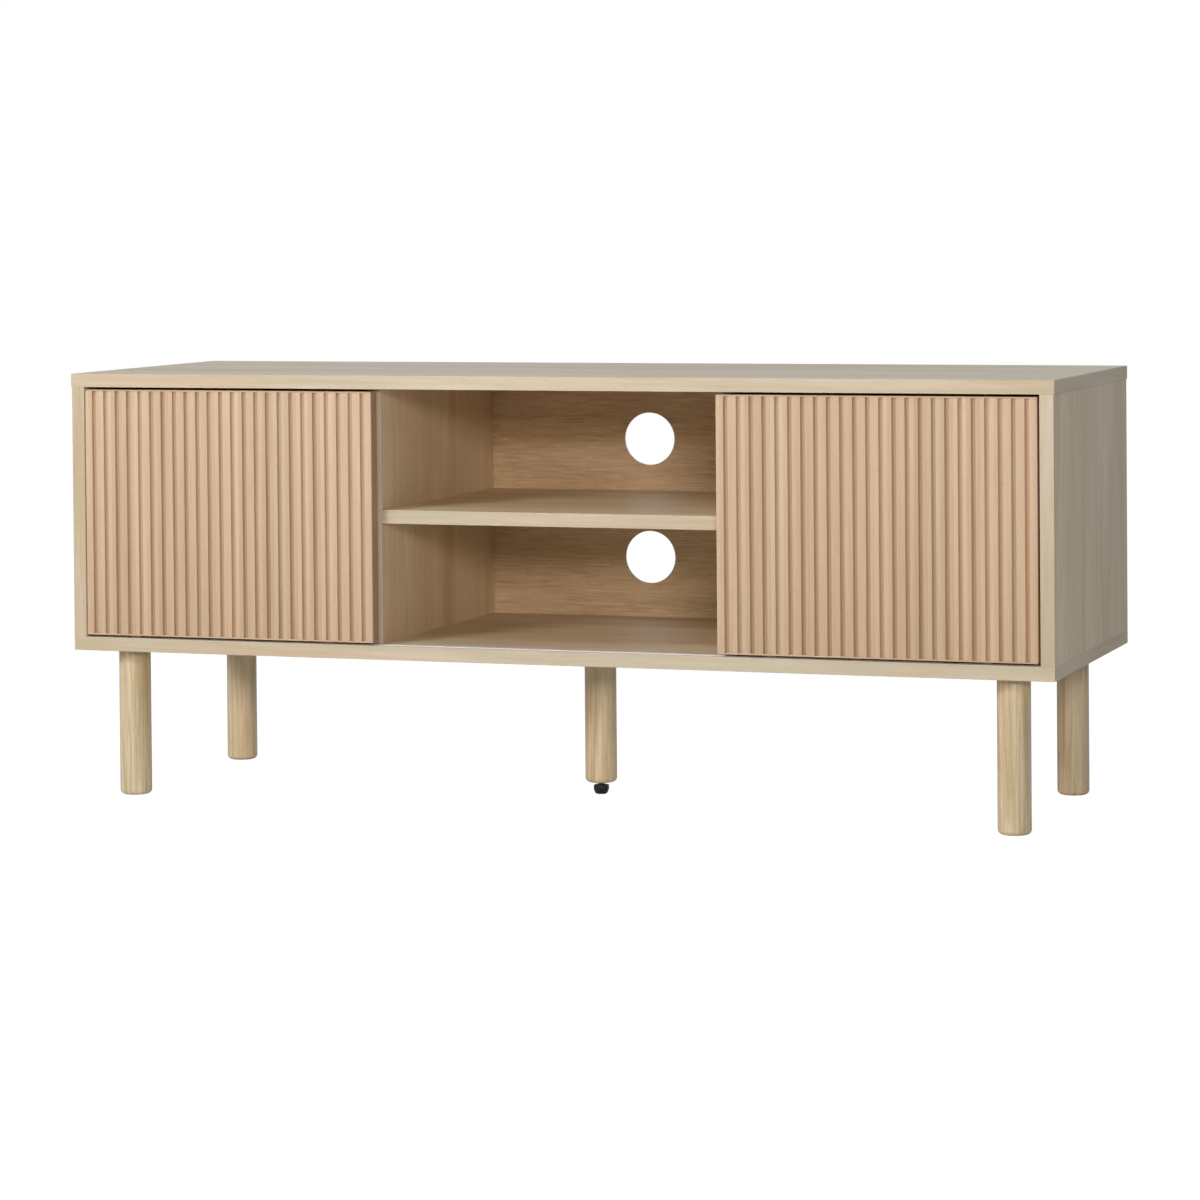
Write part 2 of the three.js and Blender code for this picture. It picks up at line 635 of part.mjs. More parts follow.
addTopPanel();
addBottomPanel();
addSidePanel("left_side_panel", -1);
addSidePanel("right_side_panel", 1);
addDivider("left_divider", -1);
addDivider("right_divider", 1);
addShelf();
addShelfDowels();
addBack();
addBottomTrack();
addTopTrack();
addDoor("left", DOOR_WIDTH / 2 - CLOSED_EDGE);
addDoor("right", CLOSED_EDGE - RIGHT_DOOR_AJAR - DOOR_WIDTH / 2);
addLegs();
addLevellingFoot();

export default cabinet;
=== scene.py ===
"""Media cabinet with fluted sliding doors: the visual pieces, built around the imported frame.

Laid out as an add-on: property groups hold the sizes and colours, and one operator makes each group
of pieces. Every length is in metres, in the row frame: +X right, +Y to the back, +Z up.
"""

import json
import math

import bpy
from bpy.props import FloatProperty, FloatVectorProperty, IntProperty, PointerProperty
from mathutils import Matrix, Vector


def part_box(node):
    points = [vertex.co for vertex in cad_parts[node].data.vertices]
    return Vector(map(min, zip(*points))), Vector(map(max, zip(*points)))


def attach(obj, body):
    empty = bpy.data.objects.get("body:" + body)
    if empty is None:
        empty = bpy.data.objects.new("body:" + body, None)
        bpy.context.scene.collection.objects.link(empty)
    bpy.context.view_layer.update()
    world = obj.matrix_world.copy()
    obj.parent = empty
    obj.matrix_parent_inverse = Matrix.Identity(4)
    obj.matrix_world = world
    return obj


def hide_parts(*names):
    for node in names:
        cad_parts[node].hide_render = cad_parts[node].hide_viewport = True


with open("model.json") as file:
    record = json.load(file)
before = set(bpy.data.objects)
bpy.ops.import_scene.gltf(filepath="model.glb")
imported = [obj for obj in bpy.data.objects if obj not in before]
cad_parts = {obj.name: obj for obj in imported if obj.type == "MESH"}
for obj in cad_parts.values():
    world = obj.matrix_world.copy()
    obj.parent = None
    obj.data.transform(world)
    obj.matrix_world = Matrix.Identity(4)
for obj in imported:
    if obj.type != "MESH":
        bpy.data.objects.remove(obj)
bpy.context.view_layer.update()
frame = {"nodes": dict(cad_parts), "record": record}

bl_info = {
    "name": "Media cabinet",
    "version": (1, 0, 0),
    "blender": (4, 5, 0),
    "location": "View3D > Sidebar > Media cabinet",
    "description": "Makes a media cabinet with fluted sliding doors around its CAD frame",
    "category": "Add Mesh",
}

MM = 0.001
X, Y, Z = 0, 1, 2
LEGS = ("front_left", "front_right", "rear_left", "rear_right", "centre")
SIDES = ("left", "right")


def linear(code):
    """A linear colour from an sRGB hex code such as "D8C8AC"."""
    channels = [int(code[i : i + 2], 16) / 255 for i in (0, 2, 4)]
    return tuple(c / 12.92 if c <= 0.04045 else ((c + 0.055) / 1.055) ** 2.4 for c in channels)


# ---------------------------------------------------------------- sizes and colours


class CabinetSizes(bpy.types.PropertyGroup):
    """Sizes of the fine detail that the CAD frame leaves out"""

    band: FloatProperty(
        name="Edge band",
        description="Thickness of the plastic band glued to a board's edge",
        default=1.0 * MM,
        unit="LENGTH",
    )
    band_round: FloatProperty(
        name="Band rounding",
        description="Radius scraped on the outer corners of an edge band",
        default=0.45 * MM,
        unit="LENGTH",
    )
    board_arris: FloatProperty(
        name="Board arris",
        description="Broken corner of a board where no band covers it",
        default=0.12 * MM,
        unit="LENGTH",
    )
    flute_pitch: FloatProperty(
        name="Flute pitch",
        description="Middle of one flute to the middle of the next",
        default=15.1 * MM,
        unit="LENGTH",
    )
    flute_width: FloatProperty(
        name="Flute width", description="Width of a flute", default=5.2 * MM, unit="LENGTH"
    )
    flute_depth: FloatProperty(
        name="Flute depth", description="Depth of a flute", default=2.8 * MM, unit="LENGTH"
    )
    flute_corner: FloatProperty(
        name="Flute corner",
        description="Radius between the floor of a flute and its walls",
        default=0.9 * MM,
        unit="LENGTH",
    )
    flute_count: IntProperty(name="Flutes", description="Flutes in one door", default=24, min=1)
    leg_foot_round: FloatProperty(
        name="Leg foot rounding",
        description="Radius turned on the lower edge of a leg",
        default=5.5 * MM,
        unit="LENGTH",
    )


def colour(name, words, code):
    """A colour property whose default is given as an sRGB hex code."""
    return FloatVectorProperty(
        name=name, description=words, subtype="COLOR", size=3, min=0, max=1, default=linear(code)
    )


class CabinetFinishes(bpy.types.PropertyGroup):
    """Colours of the finishes"""

    oak_pale: colour("Pale oak", "Early wood in the printed oak of the carcass", "DECFB8")
    oak_deep: colour("Deep oak", "Late wood in the printed oak of the carcass", "C2AB89")
    # Painted light: a paler, warmer copy of the carcass oak for the dividers and the shelf, standing in for
    # more light inside the bay.
    inner_painted_light_pale: colour(
        "Pale oak inside", "Early wood in the printed oak of the dividers and the shelf", "E6D6BA"
    )
    inner_painted_light_deep: colour(
        "Deep oak inside", "Late wood in the printed oak of the dividers and the shelf", "C9B18D"
    )
    band_pale: colour("Pale band", "Light streaks of the edge bands", "D0C6B2")
    band_deep: colour("Deep band", "Dark streaks of the edge bands", "BAA98A")
    back_pale: colour("Pale back", "Light streaks of the foil on the back boards", "E2CEAD")
    back_deep: colour("Deep back", "Dark streaks of the foil on the back boards", "B99870")
    door_pale: colour("Pale door", "Light fibres of the fluted doors", "D0B99E")
    door_deep: colour("Deep door", "Dark fibres of the fluted doors", "B89A7A")
    leg_pale: colour("Pale leg", "Light fibres of the turned legs", "E2D3B5")
    leg_deep: colour("Deep leg", "Dark fibres of the turned legs", "BDAA86")
    hardboard: colour("Hardboard", "Bare rear face of the back boards", "8A6A48")
    track: colour("Track", "Extruded plastic of the tracks and strips", "F7F0EF")
    nylon: colour("Nylon", "Moulded nylon of the rollers and guides", "C8C7C0")
    # Painted shade: the guide pins are a dark grey so that the gap under the top panel, where they sit, reads
    # as shade.
    guide: colour("Guide", "Moulded nylon of the pins on top of the doors", "4A4844")
    foot: colour("Foot", "Moulded plastic of the levelling foot", "161616")
    zinc: colour("Zinc", "Zinc plating of the bolts, nuts and cams", "B4B7BA")
    beech: colour("Beech", "Dowels of the shelf", "CFAF80")
    floor: colour("Floor", "Studio floor", "DEDEDC")


# ---------------------------------------------------------------- materials


def add(tree, kind, inputs=None, **settings):
    """One shader node with its settings. An input is a value, or an output socket to link."""
    made = tree.nodes.new("ShaderNode" + kind)
    for key, value in settings.items():
        setattr(made, key, value)
    for key, value in (inputs or {}).items():
        if isinstance(value, bpy.types.NodeSocket):
            tree.links.new(value, made.inputs[key])
        else:
            made.inputs[key].default_value = value
    return made


def new_tree(name):
    """An empty material with its node tree and object coordinates."""
    material = bpy.data.materials.new(name)
    material.use_nodes = True
    material.node_tree.nodes.clear()
    return material, material.node_tree, add(material.node_tree, "TexCoord").outputs["Object"]


def finish_tree(material, tree, inputs, preview):
    """Closes a material with one Principled shader."""
    shader = add(tree, "BsdfPrincipled", inputs)
    add(tree, "OutputMaterial", {"Surface": shader.outputs[0]})
    material.diffuse_color = (*preview, 1)
    return material


def mixed(tree, factor, first, second):
    """A colour between two others."""
    mix = add(tree, "Mix", {0: factor}, data_type="RGBA")
    for index, value in ((6, first), (7, second)):
        if isinstance(value, bpy.types.NodeSocket):
            tree.links.new(value, mix.inputs[index])
        else:
            mix.inputs[index].default_value = (*value, 1)
    return mix.outputs[2]


def times(tree, colour_socket, tint, factor=1.0):
    """A colour multiplied by a tint, which is a colour or a socket, as far as the factor says."""
    mix = add(tree, "Mix", {0: factor}, data_type="RGBA", blend_type="MULTIPLY")
    tree.links.new(colour_socket, mix.inputs[6])
    if isinstance(tint, bpy.types.NodeSocket):
        tree.links.new(tint, mix.inputs[7])
    else:
        mix.inputs[7].default_value = (*tint, 1)
    return mix.outputs[2]


def noise(tree, vector, feature, detail=3.0, roughness=0.55, distortion=0.0):
    """Noise whose blotches are about as wide as feature, in metres."""
    inputs = {
        "Vector": vector,
        "Scale": 1 / feature,
        "Detail": detail,
        "Roughness": roughness,
        "Distortion": distortion,
    }
    return add(tree, "TexNoise", inputs).outputs[0]


def maths(tree, operation, first, second=0.0, third=0.0):
    return add(tree, "Math", {0: first, 1: second, 2: third}, operation=operation).outputs[0]


def weigh(tree, pattern, weight, base):
    """A value moved up and down by a pattern whose mean is one half."""
    return maths(tree, "MULTIPLY_ADD", maths(tree, "SUBTRACT", pattern, 0.5), weight, base)


def darker(tint, share):
    """A colour with every channel cut down to a share of itself."""
    return tuple(share * channel for channel in tint)


def spread(tree, value, low, high, to_low=0.0, to_high=1.0):
    """A value stretched from one range onto another, and held inside it."""
    inputs = {0: value, 1: low, 2: high, 3: to_low, 4: to_high}
    return add(tree, "MapRange", inputs, clamp=True).outputs[0]


def along_grain(tree, coords, grain, stretch, place=(0, 0, 0)):
    """Coordinates drawn out along the grain, so that round blotches become streaks."""
    scale = [1.0, 1.0, 1.0]
    scale[grain] = 1 / stretch
    inputs = {"Vector": coords, "Location": place, "Scale": scale}
    return add(tree, "Mapping", inputs).outputs[0]


# Widths of the features of oak, across the grain.
PLANK_BAND = 55 * MM
GROWTH_RING = 7 * MM
FIBRE = 1.6 * MM
PORE = 0.45 * MM
# How many times longer than wide they are.
BAND_DRAW = 9
TINGE_DRAW = 14
RING_DRAW = 26
FIBRE_DRAW = 40
PORE_DRAW = 16
# How far each pattern moves the tone from its mean, where 0 is pale wood and 1 is deep.
MEAN_TONE = 0.42
BAND_WEIGHT = 1.6
RING_WEIGHT = 1.7
FIBRE_WEIGHT = 0.9
# A pore's colour, as a share of the deep wood's.
PORE_SHADE = 0.55
# The print drifts between these two from band to band.
PINK_TINGE = (1.045, 0.985, 0.965)
OLIVE_TINGE = (0.985, 1.0, 0.975)


def oak(
    name,
    grain,
    pale,
    deep,
    figure=1.0,
    roughness=0.5,
    relief=0.04 * MM,
    shift=0.0,
    ring=GROWTH_RING,
    draw=RING_DRAW,
):
    """Pale oak: broad bands, growth rings, fibres and fine dark pores, all drawn out along the grain.

    figure is how strongly the grain shows, and relief is how deep the pores are. shift takes another
    part of the pattern. ring is the width of a growth ring, and draw is how many times longer it is.
    """
    material, tree, coords = new_tree(name)
    place = (shift, 1.7 * shift, 0.6 * shift)
    bands = noise(tree, along_grain(tree, coords, grain, BAND_DRAW, place), PLANK_BAND, 2, 0.5, 0.6)
    tinge = noise(tree, along_grain(tree, coords, grain, TINGE_DRAW, place), 0.5 * PLANK_BAND, 1, 0.5)
    rings = noise(tree, along_grain(tree, coords, grain, draw, place), ring, 3, 0.6, 1.0)
    fibres = noise(tree, along_grain(tree, coords, grain, FIBRE_DRAW, place), FIBRE, 4, 0.65)
    pores = noise(tree, along_grain(tree, coords, grain, PORE_DRAW, place), PORE, 2, 0.5)
    tone = weigh(tree, bands, BAND_WEIGHT, MEAN_TONE)
    tone = weigh(tree, rings, RING_WEIGHT * figure, tone)
    tone = weigh(tree, fibres, FIBRE_WEIGHT * figure, tone)
    ground = mixed(tree, spread(tree, tone, 0.0, 1.0), pale, deep)
    ground = times(tree, ground, mixed(tree, spread(tree, tinge, 0.35, 0.65), PINK_TINGE, OLIVE_TINGE))
    pore = spread(tree, pores, 0.62, 0.72, 0.0, 0.45 * figure)
    dark = darker(deep, PORE_SHADE)
    height = maths(tree, "MULTIPLY_ADD", pore, -1.0, fibres)
    bump = add(tree, "Bump", {"Height": height, "Strength": 0.6, "Distance": relief})
    shader = {
        "Base Color": mixed(tree, pore, ground, dark),
        "Roughness": spread(tree, fibres, 0.3, 0.7, roughness - 0.06, roughness + 0.06),
        "Normal": bump.outputs[0],
    }
    return finish_tree(material, tree, shader, pale)


# Painted shade: the floors of the flutes are tinted darker and warmer, standing in for the shade that falls
# in them.
FLUTE_PAINTED_SHADE = (0.76, 0.7, 0.64)
# The painted shade sets in at the first of these shares of a flute's depth, and is full at the second.
FLUTE_PAINTED_SHADE_REACH = (0.75, 0.95)


def fluted_oak(name, door_middle, front, sizes, pale, deep):
    """Matt oak veneer over a fluted board: each slat has its own tint and its own fibres, and the floors of
    the flutes carry painted shade.
    """
    material, tree, coords = new_tree(name)
    split = add(tree, "SeparateXYZ", {0: coords})
    first = door_middle - sizes.flute_count / 2 * sizes.flute_pitch
    across = maths(tree, "DIVIDE", maths(tree, "SUBTRACT", split.outputs[0], first), sizes.flute_pitch)
    slat = maths(tree, "FLOOR", across)
    chance = add(tree, "TexWhiteNoise", {"W": slat}, noise_dimensions="1D")
    lifted = maths(tree, "MULTIPLY_ADD", chance.outputs[0], 3.0, split.outputs[2])
    own = add(tree, "CombineXYZ", {0: split.outputs[0], 1: split.outputs[1], 2: lifted}).outputs[0]
    rings = noise(tree, along_grain(tree, own, Z, 24), GROWTH_RING, 3, 0.6, 0.6)
    fibres = noise(tree, along_grain(tree, own, Z, FIBRE_DRAW), FIBRE, 4, 0.65)
    pores = noise(tree, along_grain(tree, own, Z, 14), PORE, 2, 0.5)
    tone = maths(tree, "MULTIPLY_ADD", chance.outputs[0], 0.5, 0.1)
    tone = weigh(tree, rings, 0.9, tone)
    tone = weigh(tree, fibres, 0.6, tone)
    ground = mixed(tree, spread(tree, tone, 0.0, 1.0), pale, deep)
    # Painted shade: the colour is made darker and warmer towards the floor of each flute, by depth.
    starts, full = (front + share * sizes.flute_depth for share in FLUTE_PAINTED_SHADE_REACH)
    floor = spread(tree, split.outputs[1], starts, full)
    ground = times(tree, ground, mixed(tree, chance.outputs[1], PINK_TINGE, OLIVE_TINGE))
    ground = times(tree, ground, FLUTE_PAINTED_SHADE, floor)
    pore = spread(tree, pores, 0.6, 0.72, 0.0, 0.4)
    dark = darker(deep, PORE_SHADE)
    height = maths(tree, "MULTIPLY_ADD", pore, -1.0, fibres)
    bump = add(tree, "Bump", {"Height": height, "Strength": 0.7, "Distance": 0.06 * MM})
    shader = {
        "Base Color": mixed(tree, pore, ground, dark),
        "Roughness": spread(tree, fibres, 0.3, 0.7, 0.52, 0.66),
        "Normal": bump.outputs[0],
    }
    return finish_tree(material, tree, shader, pale)


def moulded(name, base, roughness, grit=0.35 * MM, relief=0.02 * MM, coat=0.0):
    """Moulded or extruded plastic: one colour, with the faint orange peel of the tool's surface."""
    material, tree, coords = new_tree(name)
    peel = noise(tree, coords, grit, 2, 0.5)
    cloud = noise(tree, coords, 60 * grit, 2, 0.5)
    bump = add(tree, "Bump", {"Height": peel, "Strength": 0.5, "Distance": relief})
    shade = darker(base, 0.9)
    shader = {
        "Base Color": mixed(tree, spread(tree, cloud, 0.35, 0.65), base, shade),
        "Roughness": spread(tree, peel, 0.3, 0.7, roughness - 0.05, roughness + 0.07),
        "IOR": 1.5,
        "Coat Weight": coat,
        "Normal": bump.outputs[0],
    }
    return finish_tree(material, tree, shader, base)


def plated_steel(name, base):
    """Zinc-plated steel: a cold metal with the cloudy spangle that plating leaves."""
    material, tree, coords = new_tree(name)
    spangle = noise(tree, coords, 1.2 * MM, 3, 0.6)
    shade = darker(base, 0.72)
    shader = {
        "Base Color": mixed(tree, spread(tree, spangle, 0.35, 0.65), base, shade),
        "Metallic": 1.0,
        "Roughness": spread(tree, spangle, 0.3, 0.7, 0.26, 0.42),
    }
    return finish_tree(material, tree, shader, base)


def hardboard(name, base):
    """Pressed wood fibre, smooth and brown, with a fine felt of lighter and darker fibres."""
    material, tree, coords = new_tree(name)
    felt = noise(tree, coords, 0.8 * MM, 6, 0.7)
    cloud = noise(tree, coords, 40 * MM, 3, 0.6)
    shade = darker(base, 0.6)
    tone = weigh(tree, cloud, 0.8, felt)
    bump = add(tree, "Bump", {"Height": felt, "Strength": 0.6, "Distance": 0.05 * MM})
    shader = {
        "Base Color": mixed(tree, spread(tree, tone, 0.3, 0.75), shade, base),
        "Roughness": 0.75,
        "Normal": bump.outputs[0],
    }
    return finish_tree(material, tree, shader, base)


def make_materials(scene):
    """Every finish of the cabinet by a short name, made once and kept for the operators."""
    tint = scene.cabinet_finishes
    sizes = scene.cabinet_sizes
    finishes = {}
    for axis, letter in ((X, "x"), (Y, "y"), (Z, "z")):
        # Melamine paper printed with pale oak: satin, with a shallow pressed pore.
        finishes["board_" + letter] = oak(
            "oak_print_melamine_" + letter, axis, tint.oak_pale, tint.oak_deep, 0.65, 0.48
        )
        # The same paper on the boards inside the bay, made paler and warmer than the carcass: painted light,
        # standing in for the light that reaches into the bay.
        finishes["inner_" + letter] = oak(
            "oak_print_melamine_inner_" + letter,
            axis,
            tint.inner_painted_light_pale,
            tint.inner_painted_light_deep,
            0.65,
            0.48,
            shift=0.7,
        )
        # ABS edge band with the same print, a little paler and smoother.
        finishes["band_" + letter] = oak(
            "oak_print_abs_band_" + letter, axis, tint.band_pale, tint.band_deep, 0.7, 0.42, 0.02 * MM, 0.4
        )
    # Paper foil on hardboard: warmer, with a stronger figure that runs across the bay.
    finishes["back"] = oak(
        "oak_foil_on_hardboard", X, tint.back_pale, tint.back_deep, 1.0, 0.6, shift=0.9, ring=3 * MM, draw=13
    )
    finishes["hardboard"] = hardboard("bare_hardboard", tint.hardboard)
    for side in SIDES:
        low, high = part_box(side + "_door_panel")
        finishes["fluted_" + side] = fluted_oak(
            "fluted_oak_veneer_" + side,
            (low.x + high.x) / 2,
            low.y,
            sizes,
            tint.door_pale,
            tint.door_deep,
        )
    # Band on the top and bottom edges of a door: a thin veneer strip, paler than the flutes.
    finishes["door_band"] = oak(
        "oak_veneer_door_band", X, tint.door_pale, tint.door_deep, 0.6, 0.55, shift=1.1
    )
    # Solid wood under satin lacquer: open grain with dark flecks along it.
    finishes["leg"] = oak(
        "lacquered_turned_wood", Z, tint.leg_pale, tint.leg_deep, 1.5, 0.42, 0.08 * MM, 1.3
    )
    finishes["beech"] = oak("plain_beech_dowel", X, tint.beech, tint.beech, 0.8, 0.7, shift=2.1)
    finishes["track"] = moulded("extruded_white_pvc", tint.track, 0.36)
    finishes["nylon"] = moulded("moulded_natural_nylon", tint.nylon, 0.42)
    # Painted shade: the dark grey of the guide pins stands in for the shade in the gap under the top panel.
    finishes["guide"] = moulded("moulded_nylon_painted_shade_grey", tint.guide, 0.5)
    finishes["foot"] = moulded("moulded_black_polypropylene", tint.foot, 0.45, 0.5 * MM, 0.04 * MM)
    finishes["zinc"] = plated_steel("zinc_plated_steel", tint.zinc)
    return finishes


FINISH = {}


class CABINET_OT_finishes(bpy.types.Operator):
    """Every finish in the colours of the panel, for the other operators to use"""

    bl_idname = "cabinet.finishes"
    bl_label = "Finishes"

    def execute(self, context):
        FINISH.update(make_materials(context.scene))
        return {"FINISHED"}


# ---------------------------------------------------------------- modelling helpers


def deselect_all():
    if bpy.context.mode != "OBJECT":
        bpy.ops.object.mode_set(mode="OBJECT")
    bpy.ops.object.select_all(action="DESELECT")


def pick(piece):
    """Makes one object the only selected one."""
    deselect_all()
    piece.select_set(True)
    bpy.context.view_layer.objects.active = piece


def settle():
    """Moves the active object's place, turn and scale into its mesh."""
    bpy.ops.object.transform_apply(location=True, rotation=True, scale=True)
    return bpy.context.object


def block(low, high):
    """A cube stretched between two corners."""
    deselect_all()
    low, high = Vector(low), Vector(high)
    bpy.ops.mesh.primitive_cube_add(size=1, location=(low + high) / 2)
    bpy.context.object.scale = high - low
    return settle()


def rod(radius, start, end, sides=64):
    """A cylinder between two points."""
    deselect_all()
    start, end = Vector(start), Vector(end)
    bpy.ops.mesh.primitive_cylinder_add(
        vertices=sides,
        radius=radius,
        depth=(end - start).length,
        location=(start + end) / 2,
        rotation=(end - start).to_track_quat("Z", "Y").to_euler(),
    )
    return settle()


def upright(radius, middle, bottom, top, sides=32):
    """A standing cylinder between two heights, at the place of a middle."""
    return rod(radius, (middle[0], middle[1], bottom), (middle[0], middle[1], top), sides)


def apply_modifier(piece, kind, **settings):
    pick(piece)
    modifier = piece.modifiers.new(kind.lower(), kind)
    for key, value in settings.items():
        setattr(modifier, key, value)
    bpy.ops.object.modifier_apply(modifier=modifier.name)
    return piece


def round_edges(piece, radius, segments=3, sharper_than=40):
    """Rounds every edge that turns by more than an angle."""
    angle = math.radians(sharper_than)
    return apply_modifier(
        piece,
        "BEVEL",
        width=radius,
        segments=segments,
        limit_method="ANGLE",
        angle_limit=angle,
        use_clamp_overlap=True,
    )


def cut_away(piece, cutter):
    """Takes the cutter's shape out of a piece."""
    apply_modifier(piece, "BOOLEAN", operation="DIFFERENCE", solver="EXACT", object=cutter)
    bpy.data.objects.remove(cutter)
    return piece


def select_none(piece, kind):
    """Leaves nothing of a piece's mesh selected, ready to select vertices, edges or faces."""
    pick(piece)
    bpy.ops.object.mode_set(mode="EDIT")
    bpy.ops.mesh.select_mode(type=kind)
    bpy.ops.mesh.select_all(action="DESELECT")
    bpy.ops.object.mode_set(mode="OBJECT")


def bevel_ring(piece, level, radius, segments):
    """Rounds the edge loop of an upright piece that lies at a height."""
    select_none(piece, "EDGE")
    points = piece.data.vertices
    for edge in piece.data.edges:
        edge.select = all(abs(points[i].co.z - level) < 1e-5 for i in edge.vertices)
    bpy.ops.object.mode_set(mode="EDIT")
    bpy.ops.mesh.bevel(offset=radius, segments=segments, affect="EDGES")
    bpy.ops.object.mode_set(mode="OBJECT")
    return piece


def smooth(piece, angle=32):
    pick(piece)
    bpy.ops.object.shade_smooth_by_angle(angle=math.radians(angle))
    return piece


def copy_of_node(node):
    """A copy of a CAD node's mesh, merged into one clean shell."""
    source = frame["nodes"][node]
    piece = bpy.data.objects.new(node + "_copy", source.data.copy())
    bpy.context.scene.collection.objects.link(piece)
    piece.data.materials.clear()
    pick(piece)
    bpy.ops.object.mode_set(mode="EDIT")
    bpy.ops.mesh.select_all(action="SELECT")
    bpy.ops.mesh.remove_doubles(threshold=0.005 * MM)
    bpy.ops.mesh.dissolve_limited(angle_limit=math.radians(1))
    bpy.ops.object.mode_set(mode="OBJECT")
    return piece


def complete(piece, name, body, slot, *finishes, stands_for=()):
    """Names a finished piece, paints it, and sets it on its body."""
    piece.name = name
    piece.data.name = name
    if finishes:
        piece.data.materials.clear()
        for finish in finishes:
            piece.data.materials.append(FINISH[finish])
    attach(piece, body)
    if stands_for:
        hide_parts(*stands_for)
    return piece


def paint_faces(piece, index, test):
    """Gives the faces that pass a test another of the piece's materials."""
    for face in piece.data.polygons:
        if test(face):
            face.material_index = index


def body_of_node(node):
    return next(b for b, nodes in frame["record"]["behaviour"]["bodies"].items() if node in nodes)


def centre(node):
    low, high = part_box(node)
    return (low + high) / 2


# ---------------------------------------------------------------- carcass

# Each board with its grain, and the faces that carry an edge band as (axis, direction).
BOARDS = {
    "top_panel": (X, ((Y, -1), (Y, 1), (X, -1), (X, 1))),
    "bottom_panel": (X, ((Y, -1), (Y, 1), (X, -1), (X, 1))),
    "left_side_panel": (Z, ((Y, -1), (Y, 1))),
    "right_side_panel": (Z, ((Y, -1), (Y, 1))),
    "left_divider": (Z, ((Y, -1),)),
    "right_divider": (Z, ((Y, -1),)),
    "middle_shelf": (X, ((Y, -1),)),
}
INNER_BOARDS = ("left_divider", "right_divider", "middle_shelf")
EDGE_NAMES = {(Y, -1): "front", (Y, 1): "rear", (X, -1): "left", (X, 1): "right"}
LETTERS = "xyz"
BACK_GROOVE_PLAY = 0.3 * MM
BACK_GROOVE_REACH = 8 * MM
# Play around a plug or a nut in its hole, and around a housing in its mortise.
SOCKET_PLAY = 0.15 * MM
MORTISE_PLAY = 0.3 * MM


def make_board(node, sizes):
    """One board and its edge bands. Front and rear bands run the whole length of the board."""
    grain, edges = BOARDS[node]
    low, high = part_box(node)
    core_low, core_high = low.copy(), high.copy()
    for axis, direction in edges:
        edge = core_low if direction < 0 else core_high
        edge[axis] -= direction * sizes.band
    for axis, direction in edges:
        band_low, band_high = (low.copy(), high.copy()) if axis == Y else (core_low.copy(), core_high.copy())
        if direction < 0:
            band_low[axis], band_high[axis] = low[axis], core_low[axis]
        else:
            band_low[axis], band_high[axis] = core_high[axis], high[axis]
        band = round_edges(block(band_low, band_high), sizes.band_round)
        size = band_high - band_low
        run = max(range(3), key=lambda i: size[i])
        name = f"{node}_{EDGE_NAMES[(axis, direction)]}_band"
        complete(band, name, "cabinet", "laminate", "band_" + LETTERS[run])
    core = block(core_low, core_high)
    # The dividers and the shelf take the paler copy of the print, which is painted light.
    return core, ("inner_" if node in INNER_BOARDS else "board_") + LETTERS[grain]


def groove_for_back(board_low, board_high):
    """Cutter for the groove that holds the back boards, between two corners in X and Z."""
    low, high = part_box("back_board_centre")
    return block(
        (board_low[0], low.y - BACK_GROOVE_PLAY, board_low[1]),
        (board_high[0], high.y + BACK_GROOVE_PLAY, board_high[1]),
    )


def groove_for_channel():
    """Cutter for the groove in the top panel that holds the top track."""
    low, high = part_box("top_track")
    play = Vector((0.5, 0.3, 0.3)) * MM
    return block(low - play - Vector((0, 0, MM)), high + play)


def groove_for_track():
    """Cutter for the groove in the bottom panel that holds the bottom track."""
    low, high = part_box("bottom_track")
    play = Vector((0.5, 0.1, 0)) * MM
    return block(low - play, high + play + Vector((0, 0, MM)))


class CABINET_OT_boards(bpy.types.Operator):
    """Top, bottom, sides, dividers and shelf, each with its edge bands"""

    bl_idname = "cabinet.boards"
    bl_label = "Carcass boards"

    def execute(self, context):
        sizes = context.scene.cabinet_sizes
        inner_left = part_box("left_side_panel")[1].x - BACK_GROOVE_REACH
        inner_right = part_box("right_side_panel")[0].x + BACK_GROOVE_REACH
        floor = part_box("bottom_panel")[1].z
        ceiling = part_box("top_panel")[0].z
        grooves = {
            "top_panel": ((inner_left, ceiling - MM), (inner_right, ceiling + BACK_GROOVE_REACH)),
            "bottom_panel": ((inner_left, floor - BACK_GROOVE_REACH), (inner_right, floor + MM)),
            "left_side_panel": (
                (inner_left, floor - MM),
                (inner_left + BACK_GROOVE_REACH + MM, ceiling + MM),
            ),
            "right_side_panel": (
                (inner_right - BACK_GROOVE_REACH - MM, floor - MM),
                (inner_right, ceiling + MM),
            ),
        }
        for node in BOARDS:
            core, finish = make_board(node, sizes)
            if node in grooves:
                cut_away(core, groove_for_back(*grooves[node]))
            if node == "top_panel":
                cut_away(core, groove_for_channel())
            if node == "bottom_panel":
                cut_away(core, groove_for_track())
                self.drill(core)
            round_edges(core, sizes.board_arris, 1)
            complete(core, node + "_board", "cabinet", "laminate", finish, stands_for=(node,))
        return {"FINISHED"}

    def drill(self, board):
        """Blind holes for the insert nuts, and countersinks for the carcass screws."""
        for leg in LEGS:
            low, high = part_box(leg + "_insert_nut")
            radius = (high.x - low.x) / 2 + SOCKET_PLAY
            cut_away(board, upright(radius, (low + high) / 2, low.z - MM, high.z + MM))
        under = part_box("bottom_panel")[0].z
        for place in screw_places():
            cut_away(board, upright(SCREW_HEAD_RADIUS + 0.2 * MM, place, under - MM, under + SCREW_SINK))


# ---------------------------------------------------------------- back

CABLE_HOLE_RADIUS = 32.5 * MM
# Broken edges of the plastic strips and tracks.
PLASTIC_ARRIS = 0.25 * MM


